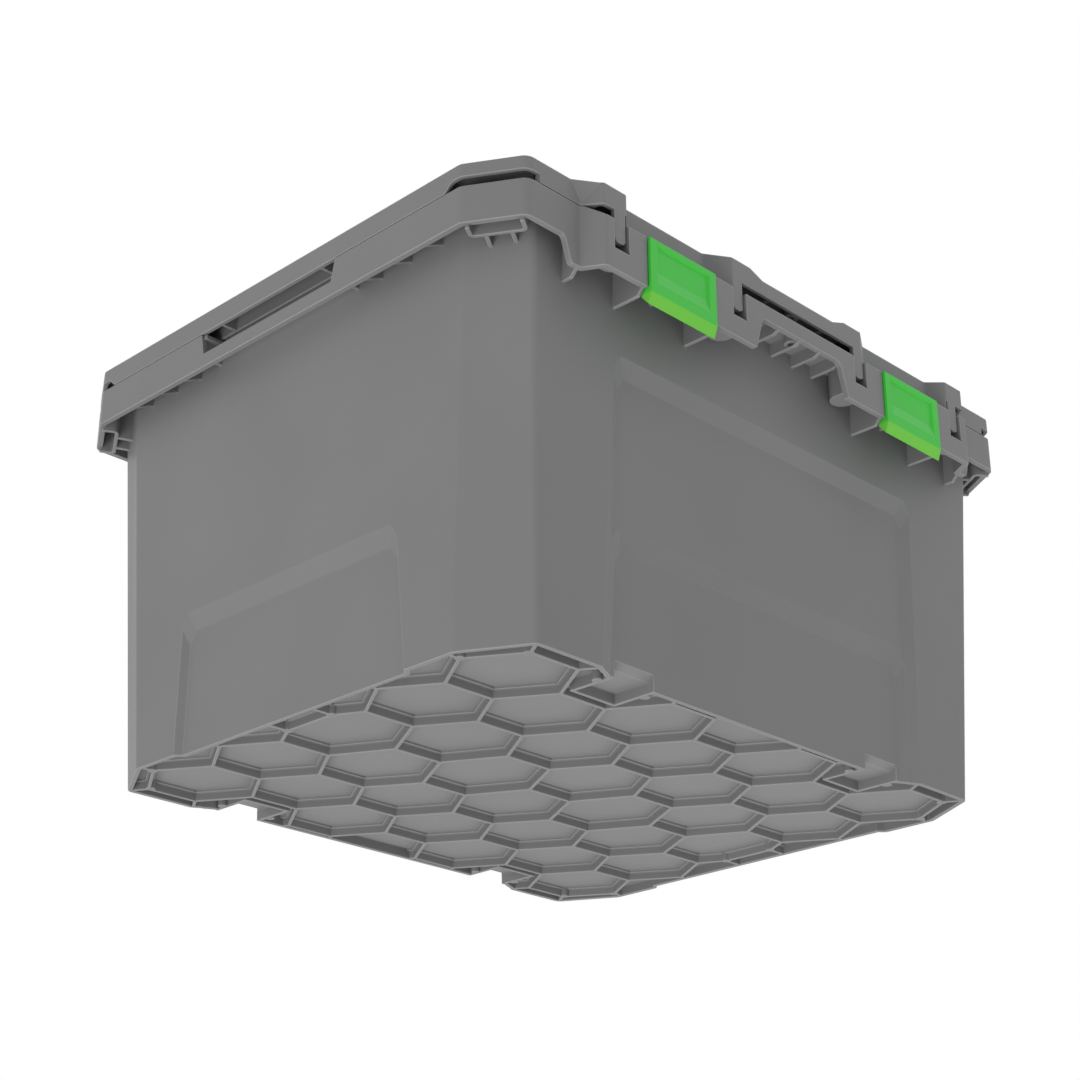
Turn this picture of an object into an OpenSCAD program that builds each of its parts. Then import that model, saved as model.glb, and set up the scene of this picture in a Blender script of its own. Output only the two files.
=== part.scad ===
// A heavy lidded storage box: a ribbed tub, a lid with a seal, and four swinging latches.
// The origin is the centre of the base, X runs along the latch sides and Z is up.

/* [Tub] */
// Length of the base, along the latch sides
base_l = 462; // [400:1:520]
// Width of the base, from latch side to latch side
base_w = 388; // [340:1:440]
// How far each wall leans out from the base up to the lip
lean = 13.5; // [8:0.5:18]
// Height of the tub up to the lip that carries the lid
tub_h = 285; // [250:1:320]
// Corner cut of the base, measured along the length
base_cut_l = 24; // [16:1:34]
// Corner cut of the base, measured along the width
base_cut_w = 44; // [30:1:54]
// How much the corner cuts narrow up to the lip
cut_narrowing = 5; // [2:0.5:10]
// Thickness of the side walls
wall = 3; // [2.4:0.1:4]
// Thickness of the floor
floor_t = 3; // [2:0.1:4]
// Radius of the tub's corner edges
tub_r = 6; // [4:1:12]

/* [Base ribs] */
// Depth of the ribs under the floor
rib_depth = 7; // [5:0.5:10]
// Thickness of one rib
rib_t = 2.1; // [1.6:0.1:3.5]
// Spacing of the columns of hexagons
hex_pitch = 60; // [54:1:66]
// Half the height of one hexagon
hex_half = 35.14; // [32:0.1:38]
// Half the height of the hexagons in the middle row
hex_middle_half = 40; // [36:0.1:42]
// Length of a hexagon's side that runs along the box
hex_side = 38.4; // [34:0.1:42]
// Width of the step at the foot of each rib
foot_step = 1.8; // [1:0.1:3]
// Height of the step at the foot of each rib
foot_h = 1.6; // [1:0.1:2.5]

/* [Stacking notches] */
// Distance of a notch from the middle of the box
notch_x = 120; // [110:1:130]
// Width of a notch
notch_w = 34; // [26:1:40]
// How far a notch reaches in from the base's edge
notch_in = 39; // [30:1:46]
// Height of a notch's mouth in the wall
notch_h = 10.5; // [8:0.5:13]

/* [Side panels] */
// Half the width of the end panel at the base
end_panel_half = 110; // [90:1:125]
// Height of the end panel
end_panel_h = 93.5; // [70:0.5:120]
// Depth of the end panel
end_panel_depth = 4.4; // [3:0.1:6]
// Half the width of the front panel at the base
front_panel_half = 155; // [140:1:165]
// How far the front panel ends below the lip
front_panel_drop = 83.5; // [70:0.5:110]
// Depth of the front panel's upper step
front_upper_depth = 4; // [2.5:0.1:5]
// Height of the front panel's lower step, measured in the wall's own face
front_step_h = 107; // [80:1:130]
// Depth of the front panel's lower step
front_lower_depth = 7.5; // [5.5:0.1:8.5]

/* [Rim] */
// How far the rim stands out past the base at each end
rim_out_l = 31; // [28:0.5:36]
// How far the rim stands out past the base at each front corner
rim_out_w = 25; // [23:0.5:29]
// How much further the latch bays stand out
bay_out = 13.4; // [12:0.1:16]
// How far a bay reaches past the latch that is nearest its end
bay_past_latch = 36.45; // [34:0.05:42]
// How far a bay's slanted end wall reaches along the box
bay_slant = 8; // [5:1:14]
// Corner cut of the rim, along the length
rim_cut_l = 21.5; // [16:0.5:28]
// Corner cut of the rim, along the width
rim_cut_w = 36; // [28:1:42]
// Thickness of the skirt
skirt_t = 4; // [3:0.1:4.6]
// Thickness of the flange
flange_t = 3; // [2.4:0.1:3.6]
// Height of the skirt at the ends and corners, up to the seam
skirt_h = 25.5; // [23:0.5:30]
// How much lower the skirt reaches in the latch bays
bay_skirt_more = 17.1; // [13:0.1:20]
// How far the seam between tub and lid lies below the lip
seam_drop = 7; // [6:0.5:9]
// How far the tub's upper edge in the latch bays lies below the seam
bay_top_drop = 7.4; // [6:0.1:9]
// Radius of the rim's corners
rim_r = 8; // [5:1:14]

/* [Handles and slots] */
// Half the length of the handle bar at its lower edge
bar_half = 41.5; // [36:0.5:45]
// Height of the handle bar
bar_h = 10.9; // [9:0.1:13]
// How far the handle opening widens down to the skirt's edge
bar_flare = 6.5; // [3:0.5:9]
// Half the length of the hand slot in an end skirt, at its lower edge
hand_half = 65.5; // [50:0.5:75]
// Height of the hand slot, up to the seam
hand_h = 15.6; // [13:0.1:18]
// Radius of the locking hole through lid and tub
lock_r = 2.4; // [2:0.1:3]
// Outer radius of the locking hole's boss
lock_boss_r = 5; // [4.4:0.1:5.5]

/* [Lid] */
// How far the lid's top stands above the tub's lip
lid_rise = 8.7; // [8:0.1:11]
// Thickness of the lid's plates and walls
lid_t = 3; // [2.4:0.1:3.4]
// Depth of the stacking deck below the lid's top
deck_drop = 6; // [4:0.5:7]
// How far the lid's bay wall stands behind the tub's
lid_step = 1.6; // [1:0.1:2.4]
// How far the lid's wall is set back above a latch, from the tub's bay face
recess_in = 12.2; // [11.8:0.1:13]
// Width of a locating tongue
tongue_w = 9.3; // [7:0.1:11]
// How far a tongue reaches down from the seam
tongue_h = 21.2; // [16:0.1:24]
// Distance of the inner tongue from the slanted wall beside the latch
tongue_inner_gap = 4.55; // [4:0.05:6]
// Distance of the outer tongue from the slanted wall beside the latch
tongue_outer_gap = 6.05; // [5:0.05:7]

/* [Latches] */
// Distance of a latch from the middle of the box
latch_x = 119.8; // [117:0.2:122]
// Width of a latch
latch_w = 61.5; // [56:0.5:63]
// Height of a latch
latch_h = 46.5; // [44:0.1:53]
// How far a latch's upper edge stands above the bay's edge
latch_rise = 0.6; // [0.2:0.1:1.4]
// How far a latch stands out past the bay's wall
latch_out = 1.8; // [1.2:0.1:2.4]
// Thickness of a latch's plate
latch_t = 2.4; // [2:0.1:2.6]
// Radius of the hinge pin
pin_r = 1.5; // [1.2:0.1:1.6]
// How far the hinge pin's centre lies below the latch's upper edge
pin_drop = 3.3; // [3:0.1:3.6]

/* [Hidden] */
grey = "#808081";
green = "#50b848";
black = "#242424";
steel = "#b8bcc0";
// Overrun of every cut past the face that it opens
over = 1;
arc_steps = 5;
longest_arc_share = 0.49;
// Radius that only breaks a sharp edge
soft_r = 0.5;
$fn = 40;

// Heights round the rim, all worked out from the lip
lip_z = tub_h;
lid_z = lip_z + lid_rise;
seam_z = lip_z - seam_drop;
skirt_z = seam_z - skirt_h;
bay_skirt_z = skirt_z - bay_skirt_more;
bay_top_z = seam_z - bay_top_drop;
bar_z = bay_top_z - bar_h;
hand_z = seam_z - hand_h;
tongue_z = seam_z - tongue_h;
latch_top_z = bay_top_z + latch_rise;
latch_low_z = latch_top_z - latch_h;
pin_z = latch_top_z - pin_drop;

// Running clearances
seam_gap = 0.8;
seal_gap = 0.3;
latch_gap = 1;
pin_gap = 0.05;
hook_gap = 0.3;

// Outlines
function unit(v) = v / norm(v);
function turned(v) = [-v[1], v[0]];
function at(pts, i) = pts[(i + len(pts)) % len(pts)];
function corner(a, b, c, r) =
    let (u = unit(a - b), v = unit(c - b), half = acos(u * v) / 2)
    let (r1 = min(r, tan(half) * min(norm(a - b), norm(c - b)) * longest_arc_share))
    let (reach = r1 / tan(half), mid = b + unit(u + v) * r1 / sin(half))
    let (from = unit(b + u * reach - mid), to = unit(b + v * reach - mid))
    [for (i = [0:arc_steps]) mid + unit(from * (arc_steps - i) + to * i) * r1];
// r is one radius, or a list with one for each point
function rounded(pts, r) = [for (i = [0:len(pts) - 1])
    each corner(at(pts, i - 1), pts[i], at(pts, i + 1), is_list(r) ? r[i] : r)];
function inset(pts, d) = [for (i = [0:len(pts) - 1])
    let (n1 = turned(unit(pts[i] - at(pts, i - 1))), n2 = turned(unit(at(pts, i + 1) - pts[i])))
    pts[i] + (n1 + n2) * d / (1 + n1 * n2)];
function backward(pts) = [for (i = [len(pts) - 1:-1:0]) pts[i]];
function scaled(pts, sx, sy) = [for (p = pts) [p[0] * sx, p[1] * sy]];
// A quarter outline, from the left end to the middle of the front, copied to all four quarters
function quarters(q) = concat(q, backward(scaled(q, -1, 1)), scaled(q, -1, -1), backward(scaled(q, 1, -1)));

// Tub walls
lean_share = lean / lip_z;
cut_share = cut_narrowing / lip_z;
function half_l(z) = base_l / 2 + lean_share * z;
function half_w(z) = base_w / 2 + lean_share * z;
function wall_pts(z, d) =
    let (cut_l = base_cut_l - cut_share * z, cut_w = base_cut_w - cut_share * z)
    inset(quarters([[-half_l(z), cut_w - half_w(z)], [cut_l - half_l(z), -half_w(z)]]), d);
function at_height(pts, z) = [for (p = pts) [p[0], p[1], z]];
function wall_loop(z, d) = at_height(rounded(wall_pts(z, d), tub_r - d), z);

// Rim
rim_l = base_l + rim_out_l * 2;
rim_w = base_w + rim_out_w * 2;
bay_w = rim_w + bay_out * 2;
pocket_half = latch_w / 2 + latch_gap;
bay_half = latch_x + pocket_half + bay_past_latch;
rim_pts = quarters([
    [-rim_l / 2, rim_cut_w - rim_w / 2],
    [rim_cut_l - rim_l / 2, -rim_w / 2],
    [-bay_half - bay_slant, -rim_w / 2],
    [-bay_half, -bay_w / 2]]);
bay_y = bay_w / 2;
lid_bay_y = bay_y - lid_step;
recess_y = bay_y - recess_in;
bay_end_x = bay_half + bay_slant;
bay_flange_drop = 1;
bay_flange_z = bay_top_z - bay_flange_drop;

// Lid
recess_slant_out = 10.5;
recess_slant_in = 17;
recess_gap_out = 5.9;
recess_gap_in = 3;
recess_out_x = latch_x + pocket_half + recess_gap_out;
recess_in_x = latch_x - pocket_half - recess_gap_in;
tongue_inner_x = recess_in_x - recess_slant_in - tongue_inner_gap;
tongue_outer_x = recess_out_x + recess_slant_out + tongue_outer_gap;
lid_pts = quarters([
    [-rim_l / 2, rim_cut_w - rim_w / 2],
    [rim_cut_l - rim_l / 2, -rim_w / 2],
    [-bay_half - bay_slant, -rim_w / 2],
    [-bay_half, -lid_bay_y],
    [-recess_out_x - recess_slant_out, -lid_bay_y],
    [-recess_out_x, -recess_y],
    [-recess_in_x, -recess_y],
    [recess_slant_in - recess_in_x, -lid_bay_y]]);

// Solids between loops of points, each loop running anticlockwise as seen from the last one
module loft(loops) {
    n = len(loops[0]);
    last = (len(loops) - 1) * n;
    sides = [for (k = [0:len(loops) - 2], i = [0:n - 1]) let (a = k * n + i, b = k * n + (i + 1) % n)
        each [[a, a + n, b + n], [a, b + n, b]]];
    lower = [[for (i = [0:n - 1]) i]];
    upper = [[for (i = [n - 1:-1:0]) last + i]];
    polyhedron(points = [for (loop = loops) each loop], faces = concat(lower, sides, upper));
}
module slab(pts, z0, z1) {
    translate([0, 0, z0]) linear_extrude(z1 - z0) polygon(pts);
}
module ring(outer, inner, z0, z1) {
    translate([0, 0, z0]) linear_extrude(z1 - z0) difference() {
        polygon(outer);
        polygon(inner);
    }
}
// A plate of thickness t standing across X, drawn in Y and Z
module plate_x(x, t, pts) {
    translate([x - t / 2, 0, 0]) rotate([90, 0, 90]) linear_extrude(t) polygon(pts);
}
// A plate from y0 to y1, drawn in X and Z
module plate_y(y0, y1, pts) {
    translate([0, y1, 0]) rotate([90, 0, 0]) linear_extrude(y1 - y0) polygon(pts);
}
module post(x, y, r, z0, z1) {
    translate([x, y, z0]) cylinder(r = r, h = z1 - z0);
}
module front_and_back() {
    children();
    rotate([0, 0, 180]) children();
}
module left_and_right() {
    children();
    mirror([1, 0, 0]) children();
}
module four_corners() {
    left_and_right() {
        children();
        mirror([0, 1, 0]) children();
    }
}
// The frame of the front left corner cut of the rim: X along the cut, Y inwards
rim_cut_turn = atan2(-rim_cut_w, rim_cut_l);
module at_rim_cut() {
    translate([(rim_cut_l - rim_l) / 2, (rim_cut_w - rim_w) / 2, 0]) rotate([0, 0, rim_cut_turn]) children();
}
function box_pts(x0, x1, y0, y1) = [[x0, y0], [x1, y0], [x1, y1], [x0, y1]];
function mirrored(pts) = concat(pts, backward(scaled(pts, -1, 1)));

// Outer and inner radii of the rim's corners, in the order of a quarter outline
crease_r = 3;
function radii(q) = concat(q, backward(q), q, backward(q));
function rim_outline(d) = rounded(inset(rim_pts, d), radii([rim_r - d, rim_r - d, crease_r, crease_r]));
function lid_outline(d) = rounded(inset(lid_pts, d),
    radii([rim_r - d, rim_r - d, crease_r, crease_r, crease_r, crease_r, crease_r, crease_r]));

// Recessed panels in the walls, each with sloping edges
panel_corner_l = 5.5;
panel_corner_h = 9;
end_panel_taper_share = 0.065;
end_panel_side_share = 1;
end_panel_top_share = 2.7;
front_panel_taper_share = 0.02;
front_panel_side_share = 1.8;
front_upper_top_share = 3.1;
front_lower_top_share = 3.7;
// How far the lower step's sides stand in from those of the upper step
front_step_in = 1;
function slope_len(share) = sqrt(1 + share * share);
function panel_loop(half, top, wall_0, d, taper, side, rise, grow) =
    let (h = half - side * d + slope_len(side) * grow, t = top - rise * d + slope_len(rise) * grow)
    let (low = t - panel_corner_h, outline = [
        [-h - taper * over, -over], [h + taper * over, -over], [h - taper * low, low],
        [h - taper * t - panel_corner_l, t], [taper * t + panel_corner_l - h, t], [taper * low - h, low]])
    [for (p = outline) [p[0], d - wall_0 - lean_share * p[1], p[1]]];
module panel(half, top, wall_0, depth, taper, side, rise, grow) {
    loft([panel_loop(half, top, wall_0, depth + grow, taper, side, rise, grow),
        panel_loop(half, top, wall_0, -over, taper, side, rise, grow)]);
}
module panels(grow) {
    front_and_back() {
        panel(front_panel_half, lip_z - front_panel_drop, base_w / 2, front_upper_depth,
            front_panel_taper_share, front_panel_side_share, front_upper_top_share, grow);
        panel(front_panel_half - front_step_in, front_step_h, base_w / 2, front_lower_depth,
            front_panel_taper_share, front_panel_side_share, front_lower_top_share, grow);
        rotate([0, 0, -90]) panel(end_panel_half, end_panel_h, base_l / 2, end_panel_depth,
            end_panel_taper_share, end_panel_side_share, end_panel_top_share, grow);
    }
}

// Ribs of the base: columns of hexagons, every second column shifted by half a hexagon
hex_columns = 4;
hex_rows = 3;
hex_reach = hex_pitch - hex_side / 2;
end_rib_in = 21.5;
end_rib_x = base_l / 2 - end_rib_in;
end_spoke_y = 21;
pad_r = 3.2;
function hexagon(x, y, up, down, d) = inset([
    [x + hex_reach, y], [x + hex_side / 2, y + up], [x - hex_side / 2, y + up],
    [x - hex_reach, y], [x - hex_side / 2, y - down], [x + hex_side / 2, y - down]], d);
// The hexagons of column i on the side s, each made smaller by d
function column(i, s, d) = i % 2 != 0
    ? [for (j = [0:hex_rows]) if (j > 0 || s > 0)
        let (h = j > 0 ? hex_half : hex_middle_half)
        let (y = j > 0 ? hex_middle_half + hex_half * (2 * j - 1) : 0)
        hexagon(i * hex_pitch, s * y, h, h, d)]
    : [for (j = [0:hex_rows - 1])
        let (near = j > 0 ? hex_half : hex_middle_half, y = hex_middle_half + hex_half * 2 * j)
        hexagon(i * hex_pitch, s * y, s > 0 ? hex_half : near, s > 0 ? near : hex_half, d)];
module cells(d) {
    difference() {
        for (i = [-hex_columns:hex_columns], s = [-1, 1], cell = column(i, s, d)) polygon(cell);
        left_and_right() polygon(box_pts(end_rib_x - d, base_l / 2, -end_spoke_y - d, end_spoke_y + d));
    }
    left_and_right() polygon(box_pts(end_rib_x + d, base_l / 2, d - end_spoke_y, end_spoke_y - d));
}
module rib_layer(d, z0, z1) {
    translate([0, 0, z0]) linear_extrude(z1 - z0) difference() {
        polygon(rounded(wall_pts(0, wall / 2), tub_r));
        cells(d);
    }
}
// Small pads where the ejector pins press
corner_pad_in_l = [32, 10];
corner_pad_in_w = [15, 48];
notch_pad_x = 20.5;
notch_pad_in = 17.7;
module base_pads() {
    four_corners() {
        for (i = [0, 1]) post(base_l / 2 - corner_pad_in_l[i], base_w / 2 - corner_pad_in_w[i],
            pad_r, 0, rib_depth + over);
        for (s = [-1, 1]) post(notch_x + s * notch_pad_x, base_w / 2 - notch_pad_in,
            pad_r, 0, rib_depth + over);
        post(end_rib_x, end_spoke_y, pad_r, 0, rib_depth + over);
    }
}
notch_end_y = base_w / 2 - notch_in;
notch_roof_in = 4.5;
notch_roof_y = base_w / 2 - front_lower_depth - notch_roof_in;
notch_rise_share = 0.7;
function notch_box(grow, y_out) = box_pts(notch_x - notch_w / 2 - grow, notch_x + notch_w / 2 + grow,
    notch_end_y - grow, y_out);
module notch_walls() {
    four_corners() slab(notch_box(rib_t, base_w / 2 - wall), 0, rib_depth + over);
}
module notch_cuts() {
    four_corners() {
        slab(notch_box(0, base_w / 2 + over), -over, rib_depth);
        plate_x(notch_x, notch_w, [
            [notch_roof_y, -over], [base_w / 2 + over, -over],
            [base_w / 2 + over, notch_h + notch_rise_share * (front_lower_depth + over)],
            [notch_roof_y, rib_depth]]);
    }
}
module tub_box() {
    difference() {
        union() {
            difference() {
                loft([wall_loop(0, 0), wall_loop(lip_z, 0)]);
                difference() {
                    union() {
                        loft([wall_loop(-over, wall), wall_loop(rib_depth, wall)]);
                        loft([wall_loop(rib_depth + floor_t, wall), wall_loop(lip_z + over, wall)]);
                    }
                    panels(wall);
                }
            }
            rib_layer(rib_t / 2, 0, rib_depth + over);
            rib_layer(rib_t / 2 + foot_step, rib_depth - foot_h, rib_depth + over);
            notch_walls();
            base_pads();
        }
        panels(0);
        notch_cuts();
    }
}

// Skirt: its lower edge drops in a soft curve from the ends to the bays
drop_start = 23;
drop_end = 15;
drop_start_x = bay_half + drop_start;
drop_end_x = bay_half + drop_end;
drop_steps = 8;
function drop(i) = let (s = i / drop_steps)
    [drop_start_x + (drop_end_x - drop_start_x) * s,
        skirt_z + (bay_skirt_z - skirt_z) * (1 - cos(180 * s)) / 2];
far_x = rim_l / 2 + over;
far_y = bay_y + over;
bar_corner = 3;
hand_flare = 3.5;
// How far the tub's upper edge takes to rise from the bay's level to the seam
bay_edge_run = 7;
module skirt_cuts() {
    left_and_right() plate_y(-far_y, far_y, concat(
        [[drop_end_x, bay_skirt_z - over], [far_x, bay_skirt_z - over], [far_x, skirt_z]],
        [for (i = [0:drop_steps]) drop(i)]));
    plate_y(-far_y, far_y, mirrored([[bay_half, bay_top_z], [bay_half + bay_edge_run, seam_z],
        [bay_half + bay_edge_run, seam_z + over]]));
    plate_y(-far_y, far_y, mirrored([
        [bar_half + bar_flare, bay_skirt_z - over], [bar_half + bar_flare, bay_skirt_z],
        [bar_half, bar_z - bar_corner], [bar_half - bar_corner, bar_z]]));
    left_and_right() slab(box_pts(latch_x - pocket_half, latch_x + pocket_half, -far_y, far_y),
        bay_skirt_z - over, seam_z);
    rotate([0, 0, 90]) plate_y(-far_x, far_x, mirrored([
        [hand_half, hand_z], [hand_half + hand_flare, seam_z + over]]));
}
module skirt() {
    difference() {
        ring(rim_outline(0), rim_outline(skirt_t), bay_skirt_z, seam_z);
        skirt_cuts();
    }
}

// Flange: high round the ends, lower in the latch bays
step_t = 2.5;
function flange_inner(z) = rounded(wall_pts(z, wall / 2), tub_r);
module high_flange() {
    difference() {
        ring(rim_outline(skirt_t / 2), flange_inner(seam_z), seam_z - flange_t, seam_z);
        slab(box_pts(-bay_end_x, bay_end_x, -far_y, far_y), seam_z - flange_t - over, seam_z + over);
        slab(box_pts(-far_x, far_x, -hand_half, hand_half), seam_z - flange_t - over, seam_z + over);
    }
    four_corners() slab(box_pts(bay_end_x, bay_end_x + step_t, half_w(seam_z) - wall / 2,
        (rim_w - skirt_t) / 2), bay_flange_z - flange_t, seam_z);
    four_corners() slab(box_pts(half_l(seam_z) - wall / 2, (rim_l - skirt_t) / 2,
        hand_half + hand_flare, hand_half + hand_flare + step_t), hand_z, seam_z);
}
strike_gap = 0.9;
strike_y = recess_y - lid_t - strike_gap;
strike_t = 2.5;
ledge_drop = 23.6;
ledge_t = 3;
ledge_in = 7.4;
ledge_half = 26;
ledge_z = bay_top_z - ledge_drop;
ledge_y = bay_y - ledge_in;
strike_low_z = ledge_z - ledge_t;
module low_flange() {
    difference() {
        intersection() {
            ring(rim_outline(skirt_t / 2), flange_inner(bay_flange_z),
                bay_flange_z - flange_t, bay_flange_z);
            slab(box_pts(-bay_end_x - step_t, bay_end_x + step_t, -far_y, far_y),
                bay_flange_z - flange_t - over, bay_flange_z + over);
        }
        four_corners() slab(box_pts(latch_x - pocket_half, latch_x + pocket_half, strike_y, far_y),
            bay_flange_z - flange_t - over, bay_flange_z + over);
    }
}
// Behind each latch: a wall with the ledge that the latch hooks under
module strikes() {
    four_corners() {
        slab(box_pts(latch_x - pocket_half - over, latch_x + pocket_half + over,
            strike_y - strike_t, strike_y), strike_low_z, bay_flange_z);
        slab(box_pts(latch_x - ledge_half, latch_x + ledge_half, strike_y - strike_t / 2, ledge_y),
            ledge_z, ledge_z + ledge_t);
        plate_x(latch_x, gusset_t, [
            [half_w(strike_low_z) - wall / 2, strike_low_z + ledge_t], [strike_y - over, strike_low_z],
            [strike_y - over, bay_flange_z - over], [half_w(strike_low_z) - wall / 2, bay_flange_z - over]]);
    }
}

// Gussets from the walls out to the skirt
gusset_t = 2.5;
bay_gusset_drop = 4.6;
bar_gusset_drop = 2.3;
end_gusset_drop = 0.9;
gusset_low_z = bay_skirt_z - bay_gusset_drop;
bar_gusset_z = bar_z - bar_gusset_drop;
end_gusset_z = hand_z - end_gusset_drop;
bar_gusset_x = [0, 21.5, 42.5];
bay_gusset_knee = 5;
bay_end_gusset = 9;
bay_end_gusset_x = bay_half + bay_end_gusset;
end_gusset_y = [93, 120, 148];
module bay_gusset(x, y_out, z_in, z_out) {
    plate_x(x, gusset_t, [
        [half_w(z_in) - wall / 2, z_in], [y_out - bay_gusset_knee, z_in], [y_out, z_out],
        [y_out, bay_flange_z - over], [half_w(bay_flange_z) - wall / 2, bay_flange_z - over]]);
}
module gussets() {
    four_corners() {
        for (x = bar_gusset_x) bay_gusset(x, bay_y - skirt_t / 2, bar_gusset_z, bar_z);
        for (s = [-1, 1]) bay_gusset(latch_x + s * (pocket_half + gusset_t / 2), bay_y - skirt_t / 2,
            gusset_low_z, bay_skirt_z + over);
        bay_gusset(bay_end_gusset_x, rim_w / 2 - skirt_t / 2, gusset_low_z, bay_skirt_z + over);
        rotate([0, 0, 90]) mirror([0, 1, 0]) for (y = end_gusset_y) plate_x(y, gusset_t, [
            [half_l(end_gusset_z) - wall / 2, end_gusset_z], [(rim_l - skirt_t) / 2, skirt_z],
            [(rim_l - skirt_t) / 2, seam_z - over], [half_l(seam_z) - wall / 2, seam_z - over]]);
    }
}

// Pockets behind the slots that take the lid's tongues
slot_w = 13;
slot_h = 20.2;
slot_z = bay_top_z - slot_h;
slot_pocket_r = 6.5;
slot_pocket_t = 2.2;
slot_pocket_rise = 9.5;
// How far the pocket of the inner and of the outer tongue reaches in from the skirt
slot_pocket_in = [19, 11];
slot_x = [tongue_inner_x, tongue_outer_x];
slot_pocket_z = bay_skirt_z + slot_pocket_rise;
function pocket_pts(i, grow) = rounded(
    box_pts(slot_x[i] - slot_w / 2 - grow, slot_x[i] + slot_w / 2 + grow,
        bay_y - skirt_t - slot_pocket_in[i] - grow, bay_y - skirt_t / 2 - (grow > 0 ? 0 : skirt_t / 2)),
    [slot_pocket_r + grow, slot_pocket_r + grow, soft_r, soft_r]);
module slot_pockets() {
    four_corners() for (i = [0, 1]) slab(pocket_pts(i, slot_pocket_t), slot_pocket_z, bay_flange_z - over);
}
module slot_cuts() {
    four_corners() for (i = [0, 1]) {
        slab(pocket_pts(i, 0), slot_pocket_z + slot_pocket_t, seam_z);
        slab(box_pts(slot_x[i] - slot_w / 2, slot_x[i] + slot_w / 2, bay_y - skirt_t - over, far_y),
            slot_z, seam_z);
    }
}

// A square channel inside each corner cut of the skirt, tied to the tub by two ribs
channel_half = 18;
channel_out = 13.5;
channel_t = 2.4;
channel_rib_x = 8;
channel_rib_in = 24;
channel_rib_drop = 1;
channel_drop = 3;
channel_z = skirt_z - channel_drop;
channel_r = 4;
function channel_pts(shrink, y0) = rounded(
    box_pts(shrink - channel_half, channel_half - shrink, y0, channel_out - shrink),
    [soft_r, soft_r, channel_r - shrink, channel_r - shrink]);
module corner_channels() {
    four_corners() at_rim_cut() {
        difference() {
            slab(channel_pts(0, skirt_t / 2), channel_z, seam_z - over);
            slab(channel_pts(channel_t, 0), channel_z - over, seam_z - flange_t);
        }
        for (s = [-1, 1]) plate_x(s * channel_rib_x, channel_t, [
            [channel_out - channel_t / 2, channel_z], [channel_rib_in, channel_z - channel_rib_drop],
            [channel_rib_in, seam_z - over], [channel_out - channel_t / 2, seam_z - over]]);
    }
}

lock_in = 9;
lock_y = bay_y - lock_in;
module tub() {
    color(grey) difference() {
        union() {
            tub_box();
            skirt();
            high_flange();
            low_flange();
            strikes();
            gussets();
            slot_pockets();
            corner_channels();
            front_and_back() post(0, -lock_y, lock_boss_r, bar_z, bay_flange_z - over);
        }
        slot_cuts();
        front_and_back() post(0, -lock_y, lock_r, bar_z - over, seam_z);
    }
}

// Lid
top_low_z = lid_z - lid_t;
deck_z = lid_z - deck_drop;
stack_gap = 3;
groove_gap = 1;
groove_t = 1.8;
groove_drop = 5;
groove_low_z = lip_z - groove_drop;
deck_wall = 2.5;
seal_h = 3.5;
seal_z = lip_z + seal_gap;
handle_low_rise = 1;
recess_low_rise = 1.2;
hinge_low_drop = 4;
handle_low_z = seam_z + handle_low_rise;
recess_low_z = bay_top_z + recess_low_rise;
hinge_low_z = pin_z - hinge_low_drop;
lid_low_z = seam_z + seam_gap;
hinge_half = 30;
// The lower edge of the lid's wall, from the middle out to the corners
module under_cut() {
    plate_y(-far_y, far_y, mirrored([
        [far_x, hinge_low_z - over], [far_x, lid_low_z], [bay_half, lid_low_z], [bay_half, handle_low_z],
        [recess_out_x + recess_slant_out, handle_low_z], [recess_out_x + recess_slant_out, recess_low_z],
        [latch_x + hinge_half, recess_low_z], [latch_x + hinge_half, hinge_low_z],
        [latch_x - hinge_half, hinge_low_z], [latch_x - hinge_half, recess_low_z],
        [recess_in_x - recess_slant_in, recess_low_z], [recess_in_x - recess_slant_in, handle_low_z]]));
}
// The slanted end walls of the lid's bays reach further along the box at the top than at the seam
lid_slant_more = 9.4;
lid_slant_buried = 0.6;
function slant_pts(more) = [[-bay_end_x - more, lid_slant_buried - rim_w / 2],
    [lid_slant_buried - bay_half, lid_slant_buried - lid_bay_y], [-bay_half, lid_t / 2 - rim_w / 2]];
module lid_slants() {
    four_corners() loft([
        at_height(slant_pts(-lid_slant_buried), lid_low_z), at_height(slant_pts(lid_slant_more), lid_z)]);
}
module lid_shell() {
    difference() {
        union() {
            slab(lid_outline(0), top_low_z, lid_z);
            ring(lid_outline(0), lid_outline(lid_t), hinge_low_z, lid_z);
            lid_slants();
        }
        under_cut();
        corner_slot_cuts();
    }
}
// Slots in the lid's wall round each corner
corner_slot_low_half = 33;
corner_slot_top_half = 27;
corner_slot_h = 6;
corner_slot_z = lid_low_z + corner_slot_h;
corner_slot_r = 5;
corner_slot_in = 9;
module corner_slot_cuts() {
    four_corners() at_rim_cut() plate_y(-over, corner_slot_in, rounded([
        [-corner_slot_low_half, lid_low_z - over], [corner_slot_low_half, lid_low_z - over],
        [corner_slot_top_half, corner_slot_z], [-corner_slot_top_half, corner_slot_z]],
        [soft_r, soft_r, corner_slot_r, corner_slot_r]));
}
// The lip's outline, moved inwards by d
function lip_outline(d) = rounded(wall_pts(lip_z, d), tub_r - d);
// The groove for the seal, between an outer rib and the wall of the stacking deck
module seal_groove() {
    ring(wall_pts(lip_z, -groove_gap - groove_t), wall_pts(lip_z, -groove_gap), groove_low_z, lid_z - over);
    ring(wall_pts(lip_z, -groove_gap - groove_t), wall_pts(0, -stack_gap - deck_wall),
        seal_z + seal_h, lid_z - over);
    ring(lip_outline(wall + groove_gap), wall_pts(0, -stack_gap - deck_wall), groove_low_z, lid_z - over);
    slab(wall_pts(0, -stack_gap - deck_wall - over), deck_z - lid_t, deck_z);
}
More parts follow.
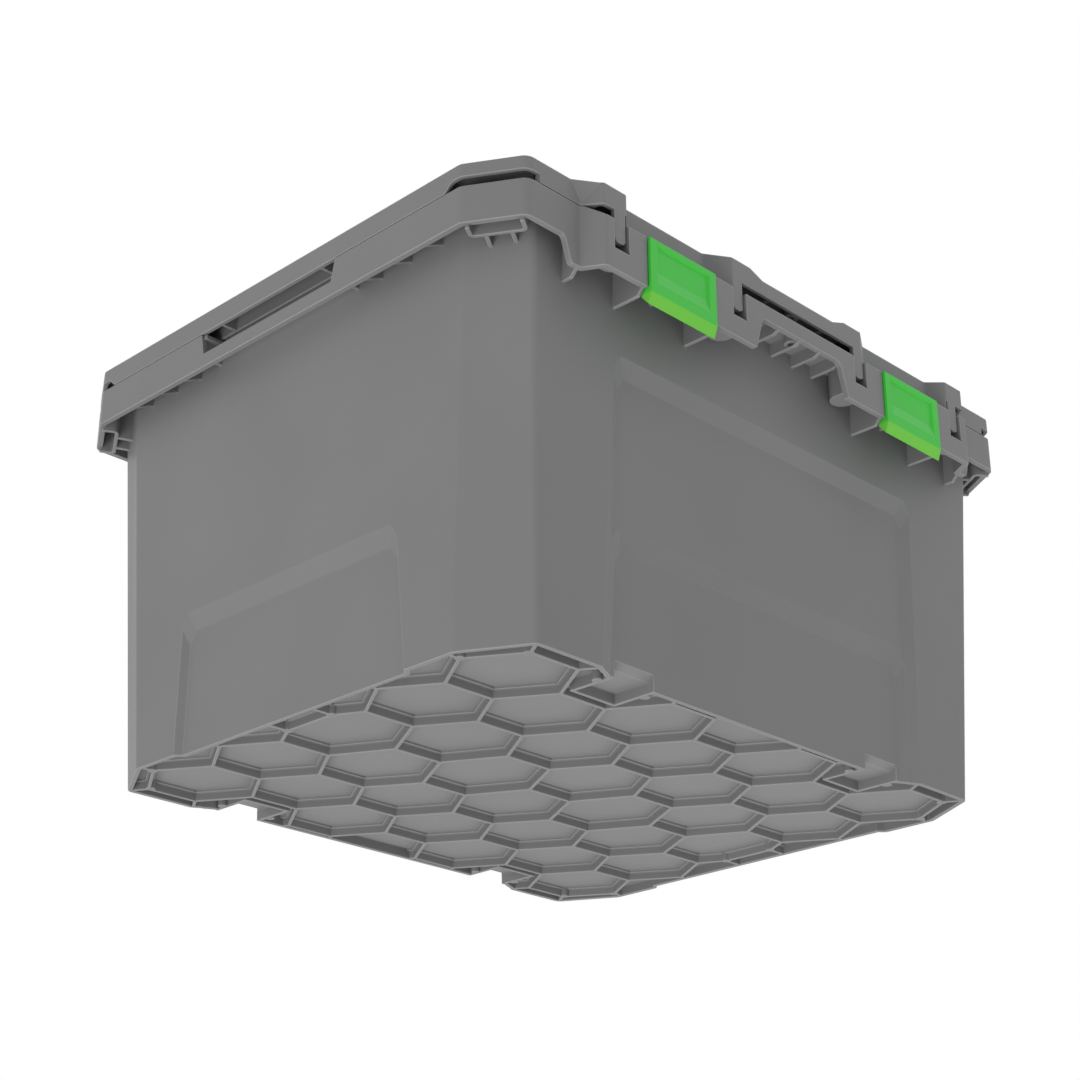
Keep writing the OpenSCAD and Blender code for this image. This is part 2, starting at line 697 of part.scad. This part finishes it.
// A low pattern of hexagons on the deck, and lugs that fit the notches of a box set on top
deck_rib_h = 1.2;
deck_margin = 14;
lug_gap = 2;
lug_h = 5.4;
lug_r = 3;
module deck_pattern() {
    translate([0, 0, deck_z - over]) linear_extrude(deck_rib_h + over) difference() {
        polygon(rounded(wall_pts(0, deck_margin), tub_r));
        cells(rib_t / 2);
        four_corners() polygon(notch_box(rib_t, base_w / 2 + rib_t));
    }
}
module stacking_lugs() {
    four_corners() slab(rounded(box_pts(notch_x - notch_w / 2 + lug_gap, notch_x + notch_w / 2 - lug_gap,
        notch_end_y + lug_gap, notch_roof_y - lug_gap), lug_r), deck_z - over, deck_z + lug_h);
}
// A shallow dip in the lid's edge over each handle bar
dip_half = 37;
dip_flare = 12.7;
dip_drop = 4.5;
dip_z = lid_z - dip_drop;
dip_in = 16;
function dip_pts(grow, z0, z1) = mirrored([[dip_half + grow, z0],
    [dip_half + grow + dip_flare * (z1 - z0) / (lid_z - dip_z), z1]]);
module dips() {
    front_and_back() plate_y(lid_t / 2 - lid_bay_y, lid_t + dip_in - lid_bay_y,
        dip_pts(lid_t, dip_z - lid_t, lid_z - over));
}
module dip_cuts() {
    front_and_back() plate_y(-far_y, dip_in - lid_bay_y, dip_pts(0, dip_z, lid_z + over));
}
lid_rib_t = 2;
handle_rib_x = 28;
end_rib_y = 51;
module lid_ribs() {
    front_and_back() for (s = [-1, 1]) plate_x(s * handle_rib_x, lid_rib_t, [
        [lid_t / 2 - lid_bay_y, handle_low_z], [-half_w(lip_z) - groove_gap - groove_t / 2, groove_low_z],
        [-half_w(lip_z) - groove_gap - groove_t / 2, dip_z - over], [lid_t / 2 - lid_bay_y, dip_z - over]]);
    four_corners() slab(box_pts(half_l(lip_z) + groove_gap + groove_t / 2, (rim_l - lid_t) / 2,
        end_rib_y - lid_rib_t / 2, end_rib_y + lid_rib_t / 2), groove_low_z, top_low_z + over);
}
tongue_r = 3;
module tongues() {
    four_corners() for (x = [tongue_inner_x, tongue_outer_x])
        plate_y(lid_bay_y - lid_t, lid_bay_y, rounded(
            box_pts(x - tongue_w / 2, x + tongue_w / 2, tongue_z, groove_low_z),
            [tongue_r, tongue_r, soft_r, soft_r]));
}
// Lugs that hold the hinge pins under the set back part of the wall
pin_in = 5.4;
pin_y = bay_y - pin_in;
hinge_lug_x = 18;
hinge_lug_t = 6;
hinge_lug_r = 2.7;
hinge_lug_up = 1.2;
hinge_lug_down = 2.4;
module along_pin(x, r, length) {
    translate([x, pin_y, pin_z]) rotate([0, 90, 0]) cylinder(r = r, h = length);
}
module hinge_lugs() {
    four_corners() for (s = [-1, 1]) {
        x = latch_x + s * hinge_lug_x;
        along_pin(x - hinge_lug_t / 2, hinge_lug_r, hinge_lug_t);
        plate_x(x, hinge_lug_t,
            box_pts(recess_y - lid_t / 2, pin_y, pin_z - hinge_lug_down, pin_z + hinge_lug_up));
    }
}
module pin_holes(gap) {
    four_corners() along_pin(latch_x - latch_w / 2, pin_r + gap, latch_w);
}
module lid() {
    color(grey) difference() {
        union() {
            difference() {
                lid_shell();
                slab(wall_pts(0, -stack_gap), deck_z, lid_z + over);
            }
            difference() {
                seal_groove();
                slab(wall_pts(0, -stack_gap), deck_z, lid_z + over);
            }
            deck_pattern();
            stacking_lugs();
            dips();
            lid_ribs();
            tongues();
            hinge_lugs();
            front_and_back() post(0, -lock_y, lock_boss_r, handle_low_z, dip_z - over);
        }
        dip_cuts();
        pin_holes(pin_gap / 2);
        front_and_back() post(0, -lock_y, lock_r, handle_low_z - over, dip_z + over);
    }
}

// Seal in the lid's groove
seal_side_gap = 0.1;
module lid_seal() {
    color(black) ring(lip_outline(seal_side_gap - groove_gap),
        lip_outline(wall + groove_gap - seal_side_gap), seal_z, seal_z + seal_h);
}

// Latch: a dished plate with side flanges, a hinge barrel, a hook rib and a finger lip
latch_flange_t = 2.5;
latch_flange_in = 6.4;
latch_lip_in = 2.8;
latch_lip_h = 8;
latch_lip_z = latch_low_z + latch_lip_h;
latch_lip_rise = 6.4;
latch_edge = 0.8;
latch_under_t = 2;
latch_inner_back = 8.5;
latch_inner_low = 4.7;
barrel_r = 2.9;
barrel_half = 12;
barrel_web_half = 2.3;
latch_shoulder = 5.8;
pin_end_gap = 0.2;
hook_h = 3.5;
hook_drop = 0.5;
hook_z = ledge_z - hook_drop - hook_h;
hook_half = 22;
dish_depth = 1.3;
dish_half = 23;
dish_below_top = 5.6;
dish_h = 17.4;
dish_top_z = latch_top_z - dish_below_top;
dish_low_z = dish_top_z - dish_h;
dish_side = 2.2;
dish_ramp = 14.2;
latch_face_y = bay_y + latch_out;
latch_back_y = bay_y - latch_flange_in;
module latch_blank() {
    plate_x(latch_x, latch_w, [
        [latch_face_y, latch_lip_z], [latch_face_y, latch_top_z - latch_edge],
        [latch_face_y - latch_edge, latch_top_z], [latch_face_y - latch_t, latch_top_z],
        [latch_face_y - latch_t, pin_z], [pin_y, pin_z],
        [pin_y, pin_z - barrel_r], [latch_back_y, pin_z - latch_shoulder],
        [latch_back_y, latch_low_z + latch_lip_rise], [latch_face_y - latch_lip_in, latch_low_z]]);
}
module latch_hollow() {
    plate_x(latch_x, latch_w - latch_flange_t * 2, [
        [latch_face_y - latch_t, latch_lip_z], [latch_face_y - latch_t, latch_top_z + over],
        [pin_y - barrel_r - over, latch_top_z + over],
        [pin_y - barrel_r - over, latch_low_z + latch_inner_back],
        [latch_back_y, latch_low_z + latch_inner_back],
        [latch_face_y - latch_lip_in - latch_under_t / 2, latch_low_z + latch_inner_low]]);
}
function dish_loop(y, side, ramp) = [for (p = backward(box_pts(latch_x - dish_half - side,
    latch_x + dish_half + side, dish_low_z - ramp, dish_top_z + side))) [p[0], y, p[1]]];
// A shallow field whose lower edge runs out in a long ramp above the lip
module latch_dish() {
    loft([dish_loop(latch_face_y - dish_depth, 0, 0), dish_loop(latch_face_y + over, dish_side, dish_ramp)]);
}
module back_right_latch() {
    difference() {
        union() {
            difference() {
                latch_blank();
                latch_hollow();
            }
            along_pin(latch_x - barrel_half, barrel_r, barrel_half * 2);
            plate_x(latch_x, barrel_half * 2, box_pts(pin_y, latch_face_y - latch_t / 2,
                pin_z - barrel_web_half, pin_z + barrel_web_half));
            for (x = [latch_x - latch_w / 2, latch_x + latch_w / 2 - latch_flange_t])
                along_pin(x, barrel_r, latch_flange_t);
            slab(box_pts(latch_x - hook_half, latch_x + hook_half, ledge_y + hook_gap,
                latch_face_y - latch_t / 2), hook_z, hook_z + hook_h);
        }
        latch_dish();
        pin_holes(pin_gap);
    }
}
module latch(x_side, y_side) {
    color(green) scale([x_side, y_side, 1]) back_right_latch();
}
module latch_pin(x_side, y_side) {
    color(steel) scale([x_side, y_side, 1])
        along_pin(latch_x - latch_w / 2 + pin_end_gap, pin_r, latch_w - pin_end_gap * 2);
}

tub();
lid();
lid_seal();
latch(-1, -1);  // latch_front_left
latch(1, -1);  // latch_front_right
latch(-1, 1);  // latch_back_left
latch(1, 1);  // latch_back_right
latch_pin(-1, -1);  // latch_pin_front_left
latch_pin(1, -1);  // latch_pin_front_right
latch_pin(-1, 1);  // latch_pin_back_left
latch_pin(1, 1);  // latch_pin_back_right
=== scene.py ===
# A heavy grey storage box with four green latches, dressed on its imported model.
import math

import bpy
from mathutils import Matrix, Vector

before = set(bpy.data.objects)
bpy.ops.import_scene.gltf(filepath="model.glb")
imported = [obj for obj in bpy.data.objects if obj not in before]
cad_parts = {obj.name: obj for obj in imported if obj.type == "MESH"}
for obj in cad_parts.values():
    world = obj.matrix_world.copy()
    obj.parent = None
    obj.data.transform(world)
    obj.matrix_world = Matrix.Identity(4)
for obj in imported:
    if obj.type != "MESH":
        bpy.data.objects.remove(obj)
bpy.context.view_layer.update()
scene = bpy.context.scene
MM = 0.001

# The camera stands low in front of the near corner and looks up at the box.
CAMERA_PLACE = Vector((-974.7, -955.0, -422.1)) * MM
LOOK_ALONG = Vector((0.6487, 0.6418, 0.4090))
LENS_MM = 69.97
SENSOR_MM = 36
NEAREST_SEEN = 0.05
FARTHEST_SEEN = 30

# The floor lies well below the box, because the camera looks up at its base.
FLOOR_Z = -0.75
FLOOR_SIDE = 14

# Each lamp: its name, the way it shines, its strength and its spread in degrees.
LAMPS = [
    ("low left lamp", (0.64, 0.05, 0.76), 1.72, 40),
    ("floor lamp", (0.05, 0.25, 1), 0.45, 40),
    ("low right lamp", (-0.72, 0.12, 0.68), 0.6, 40),
    ("high right lamp", (-0.4, 0.3, -0.85), 0.7, 60),
]
ROOM_LIGHT = 0.53
BACKDROP_LIGHT = 1

# Moulded polypropylene. The real grain is about 0.2 mm across; 0.9 mm is the finest that shows from here.
GRAIN_SIZE = 0.9 * MM
GRAIN_DEPTH = 0.02 * MM
GRAIN_STRENGTH = 0.5
CLOUDS_PER_METRE = 9
CLOUD_RANGE = (0.97, 1.03)
ROUGHNESS_RANGE = 0.05
PLASTIC_IOR = 1.49
# An edge gets a painted highlight, a paler colour standing in for the light its rounding catches, where its
# rounding turns the face by this much and the space around it is open.
FLAT_FACING = 0.99
BENT_FACING = 0.85
STRONGEST_EDGE_HIGHLIGHT = 0.8
OPEN_REACH = 2 * MM
EDGE_SAMPLES = 6
OPEN_SAMPLES = 8
CORNER_OPEN = 0.7
EDGE_OPEN = 0.95
# The middle part of a noise pattern, where nearly all of its values lie.
NOISE_LOW = 0.3
NOISE_HIGH = 0.7

# Height at which the latches' finger lip begins, and how soft its border is. Below it the latches are painted a
# paler green: painted light for the lip, which tilts down towards the lamps below.
LIP_Z = 232.7 * MM
LIP_BLEND = 0.7 * MM

# Foam rubber of the seal.
PORE_SIZE = 0.8 * MM
PORE_DEPTH = 0.1 * MM
FOAM_ROUGHNESS = 0.85

# Drawn steel of the hinge pins. They lie along X, and the drawn lines are fifty times as long as they are wide.
DRAWN_LINE = 0.15 * MM
LINE_STRETCH = (1 / 50, 1, 1)
STEEL_ROUGHNESS = (0.25, 0.45)


def add_camera():
    data = bpy.data.cameras.new("camera")
    data.lens = LENS_MM
    data.sensor_width = SENSOR_MM
    data.clip_start = NEAREST_SEEN
    data.clip_end = FARTHEST_SEEN
    camera = bpy.data.objects.new("camera", data)
    scene.collection.objects.link(camera)
    turn = LOOK_ALONG.to_track_quat("-Z", "Y").to_matrix().to_4x4()
    camera.matrix_world = Matrix.Translation(CAMERA_PLACE) @ turn
    scene.camera = camera


def linear(hex_colour):
    """An sRGB hex value as linear red, green, blue and alpha."""
    parts = [int(hex_colour[i:i + 2], 16) / 255 for i in (1, 3, 5)]
    return [c / 12.92 if c <= 0.04045 else ((c + 0.055) / 1.055) ** 2.4 for c in parts] + [1]


def node(tree, kind, inputs=None, **settings):
    """Adds a node, sets its own settings, and gives each input a value or a link from an output."""
    made = tree.nodes.new(kind)
    for key, value in settings.items():
        setattr(made, key, value)
    for key, value in (inputs or {}).items():
        if isinstance(value, bpy.types.NodeSocket):
            tree.links.new(value, made.inputs[key])
        else:
            made.inputs[key].default_value = value
    return made


def new_material(name):
    material = bpy.data.materials.new(name)
    material.use_nodes = True
    material.node_tree.nodes.clear()
    return material


def painted_lip_light(tree, place, colour, lit_lip_colour):
    """The colour of a latch, which turns to a paler painted-light green below the lip's upper edge, standing in
    for the light that the downward-tilted lip catches from below.
    """
    height = node(tree, "ShaderNodeSeparateXYZ", {"Vector": place}).outputs["Z"]
    low = node(tree, "ShaderNodeMapRange", {"Value": height,
        "From Min": LIP_Z + LIP_BLEND, "From Max": LIP_Z - LIP_BLEND, "To Min": 0, "To Max": 1})
    # Painted light: the lip is painted a paler green, as if lit from below.
    mixed = node(tree, "ShaderNodeMix",
        {0: low.outputs["Result"], 6: linear(colour), 7: linear(lit_lip_colour)}, data_type="RGBA")
    return mixed.outputs[2]


def moulded_plastic(name, colour, edge_highlight_colour, roughness, gloss, edge_radius, lit_lip_colour=None):
    """Injection moulded polypropylene: faint clouds in the colour, a fine spark grain
    and rounded edges, whose outer ones are painted a little paler as a painted highlight.
    On the latches, the lip below LIP_Z is painted paler as painted light from below."""
    material = new_material(name)
    tree = material.node_tree
    place = node(tree, "ShaderNodeTexCoord").outputs["Object"]
    body = painted_lip_light(tree, place, colour, lit_lip_colour) if lit_lip_colour else linear(colour)
    clouds = node(tree, "ShaderNodeTexNoise", {"Vector": place, "Scale": CLOUDS_PER_METRE, "Detail": 3})
    grain = node(tree, "ShaderNodeTexNoise", {"Vector": place, "Scale": 1 / GRAIN_SIZE, "Detail": 2})
    rounded = node(tree, "ShaderNodeBevel", {"Radius": edge_radius}, samples=EDGE_SAMPLES)
    face = node(tree, "ShaderNodeNewGeometry").outputs["True Normal"]
    facing = node(tree, "ShaderNodeVectorMath", {0: rounded.outputs["Normal"], 1: face},
        operation="DOT_PRODUCT")
    bend = node(tree, "ShaderNodeMapRange", {"Value": facing.outputs["Value"],
        "From Min": FLAT_FACING, "From Max": BENT_FACING, "To Min": 0, "To Max": STRONGEST_EDGE_HIGHLIGHT})
    # Open space is 1 on an outer edge and about a half in a corner, so only outer edges get the painted
    # highlight.
    hollow = node(tree, "ShaderNodeAmbientOcclusion", {"Distance": OPEN_REACH}, samples=OPEN_SAMPLES)
    outer = node(tree, "ShaderNodeMapRange", {"Value": hollow.outputs["AO"],
        "From Min": CORNER_OPEN, "From Max": EDGE_OPEN, "To Min": 0, "To Max": 1})
    edge = node(tree, "ShaderNodeMath", {0: bend.outputs["Result"], 1: outer.outputs["Result"]},
        operation="MULTIPLY")
    cloudy = node(tree, "ShaderNodeMapRange", {"Value": clouds.outputs["Fac"],
        "From Min": NOISE_LOW, "From Max": NOISE_HIGH, "To Min": CLOUD_RANGE[0], "To Max": CLOUD_RANGE[1]})
    # Painted highlight: outer rounded edges are mixed towards the paler highlight colour.
    edged = node(tree, "ShaderNodeMix", {0: edge.outputs["Value"], 6: body, 7: linear(edge_highlight_colour)},
        data_type="RGBA")
    tone = node(tree, "ShaderNodeVectorMath", {0: edged.outputs[2], 1: cloudy.outputs["Result"]},
        operation="MULTIPLY")
    rough = node(tree, "ShaderNodeMapRange", {"Value": grain.outputs["Fac"],
        "From Min": NOISE_LOW, "From Max": NOISE_HIGH,
        "To Min": roughness - ROUGHNESS_RANGE, "To Max": roughness + ROUGHNESS_RANGE})
    bump = node(tree, "ShaderNodeBump", {"Height": grain.outputs["Fac"], "Distance": GRAIN_DEPTH,
        "Strength": GRAIN_STRENGTH, "Normal": rounded.outputs["Normal"]})
    shader = node(tree, "ShaderNodeBsdfPrincipled", {"Base Color": tone.outputs["Vector"],
        "Roughness": rough.outputs["Result"], "IOR": PLASTIC_IOR, "Specular IOR Level": gloss,
        "Normal": bump.outputs["Normal"]})
    node(tree, "ShaderNodeOutputMaterial", {"Surface": shader.outputs["BSDF"]})
    return material


def foam_rubber():
    """Extruded foam rubber of the seal: black, matt and finely pored."""
    material = new_material("foam rubber, black")
    tree = material.node_tree
    place = node(tree, "ShaderNodeTexCoord").outputs["Object"]
    pores = node(tree, "ShaderNodeTexVoronoi", {"Vector": place, "Scale": 1 / PORE_SIZE})
    tone = node(tree, "ShaderNodeMix",
        {0: pores.outputs["Distance"], 6: linear("#1b1b1b"), 7: linear("#2c2c2c")}, data_type="RGBA")
    bump = node(tree, "ShaderNodeBump", {"Height": pores.outputs["Distance"], "Distance": PORE_DEPTH})
    shader = node(tree, "ShaderNodeBsdfPrincipled", {"Base Color": tone.outputs[2],
        "Roughness": FOAM_ROUGHNESS, "Normal": bump.outputs["Normal"]})
    node(tree, "ShaderNodeOutputMaterial", {"Surface": shader.outputs["BSDF"]})
    return material


def drawn_steel():
    """Drawn steel wire of the hinge pins: bright, with fine lines along the pin."""
    material = new_material("drawn steel wire")
    tree = material.node_tree
    place = node(tree, "ShaderNodeTexCoord").outputs["Object"]
    along = node(tree, "ShaderNodeMapping", {"Vector": place, "Scale": LINE_STRETCH})
    lines = node(tree, "ShaderNodeTexNoise", {"Vector": along.outputs["Vector"], "Scale": 1 / DRAWN_LINE})
    rough = node(tree, "ShaderNodeMapRange", {"Value": lines.outputs["Fac"],
        "To Min": STEEL_ROUGHNESS[0], "To Max": STEEL_ROUGHNESS[1]})
    shader = node(tree, "ShaderNodeBsdfPrincipled", {"Base Color": linear("#b8bcc0"), "Metallic": 1,
        "Roughness": rough.outputs["Result"]})
    node(tree, "ShaderNodeOutputMaterial", {"Surface": shader.outputs["BSDF"]})
    return material


def dress(names, material):
    for name in names:
        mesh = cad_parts[name].data
        mesh.materials.clear()
        mesh.materials.append(material)


def add_floor():
    """A plain pale floor. It casts no shadow, so that the lamps under it light the base."""
    bpy.ops.object.select_all(action="DESELECT")
    bpy.ops.mesh.primitive_plane_add(size=FLOOR_SIDE, location=(0, 0, FLOOR_Z))
    floor = bpy.context.object
    floor.name = "floor"
    material = new_material("studio floor, pale paint")
    tree = material.node_tree
    light = node(tree, "ShaderNodeLightPath")
    # Seen by the camera it is paler than the light it throws back, so that the base isn't lit too brightly.
    tone = node(tree, "ShaderNodeMix",
        {0: light.outputs["Is Camera Ray"], 6: linear("#dcdcdc"), 7: linear("#fafafa")}, data_type="RGBA")
    paint = node(tree, "ShaderNodeBsdfDiffuse", {"Color": tone.outputs[2]})
    clear = node(tree, "ShaderNodeBsdfTransparent")
    surface = node(tree, "ShaderNodeMixShader", {0: light.outputs["Is Shadow Ray"],
        1: paint.outputs["BSDF"], 2: clear.outputs["BSDF"]})
    node(tree, "ShaderNodeOutputMaterial", {"Surface": surface.outputs["Shader"]})
    floor.data.materials.append(material)


def add_sun(name, along, strength, spread_degrees):
    """A soft distant lamp that shines along a direction."""
    data = bpy.data.lights.new(name, "SUN")
    data.energy = strength
    data.angle = math.radians(spread_degrees)
    sun = bpy.data.objects.new(name, data)
    scene.collection.objects.link(sun)
    sun.matrix_world = Vector(along).to_track_quat("-Z", "Y").to_matrix().to_4x4()


def light_the_room():
    """A plain room with four soft lamps, before a backdrop that the camera, gloss and glass see as white."""
    world = bpy.data.worlds.new("white room")
    scene.world = world
    world.use_nodes = True
    tree = world.node_tree
    tree.nodes.clear()
    light = node(tree, "ShaderNodeLightPath")
    seen = node(tree, "ShaderNodeMath", {0: light.outputs["Is Camera Ray"], 1: light.outputs["Is Glossy Ray"]},
        operation="MAXIMUM")
    white = node(tree, "ShaderNodeMath", {0: seen.outputs["Value"], 1: light.outputs["Is Transmission Ray"]},
        operation="MAXIMUM")
    room = node(tree, "ShaderNodeBackground", {"Color": linear("#ffffff"), "Strength": ROOM_LIGHT})
    backdrop = node(tree, "ShaderNodeBackground", {"Color": linear("#ffffff"), "Strength": BACKDROP_LIGHT})
    sky = node(tree, "ShaderNodeMixShader", {0: white.outputs["Value"],
        1: room.outputs["Background"], 2: backdrop.outputs["Background"]})
    node(tree, "ShaderNodeOutputWorld", {"Surface": sky.outputs["Shader"]})
    for lamp in LAMPS:
        add_sun(*lamp)


add_camera()
pins = [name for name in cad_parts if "pin" in name]
latches = [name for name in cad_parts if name.startswith("latch_") and name not in pins]
# The paler edge colour is a painted highlight on the box's outer edges.
dress(["tub", "lid"], moulded_plastic("polypropylene, grey",
    colour="#808081", edge_highlight_colour="#b4b4b5", roughness=0.5, gloss=0.2, edge_radius=1.2 * MM))
# On the latches the paler edge colour is a painted highlight, and the paler lip colour is painted light.
dress(latches, moulded_plastic("polypropylene, green",
    colour="#42c742", edge_highlight_colour="#58d64e", roughness=0.42, gloss=0.2, edge_radius=0.6 * MM,
    lit_lip_colour="#72ca47"))
dress(pins, drawn_steel())
dress(["lid_seal"], foam_rubber())
add_floor()
light_the_room()
scene.view_settings.view_transform = "Standard"
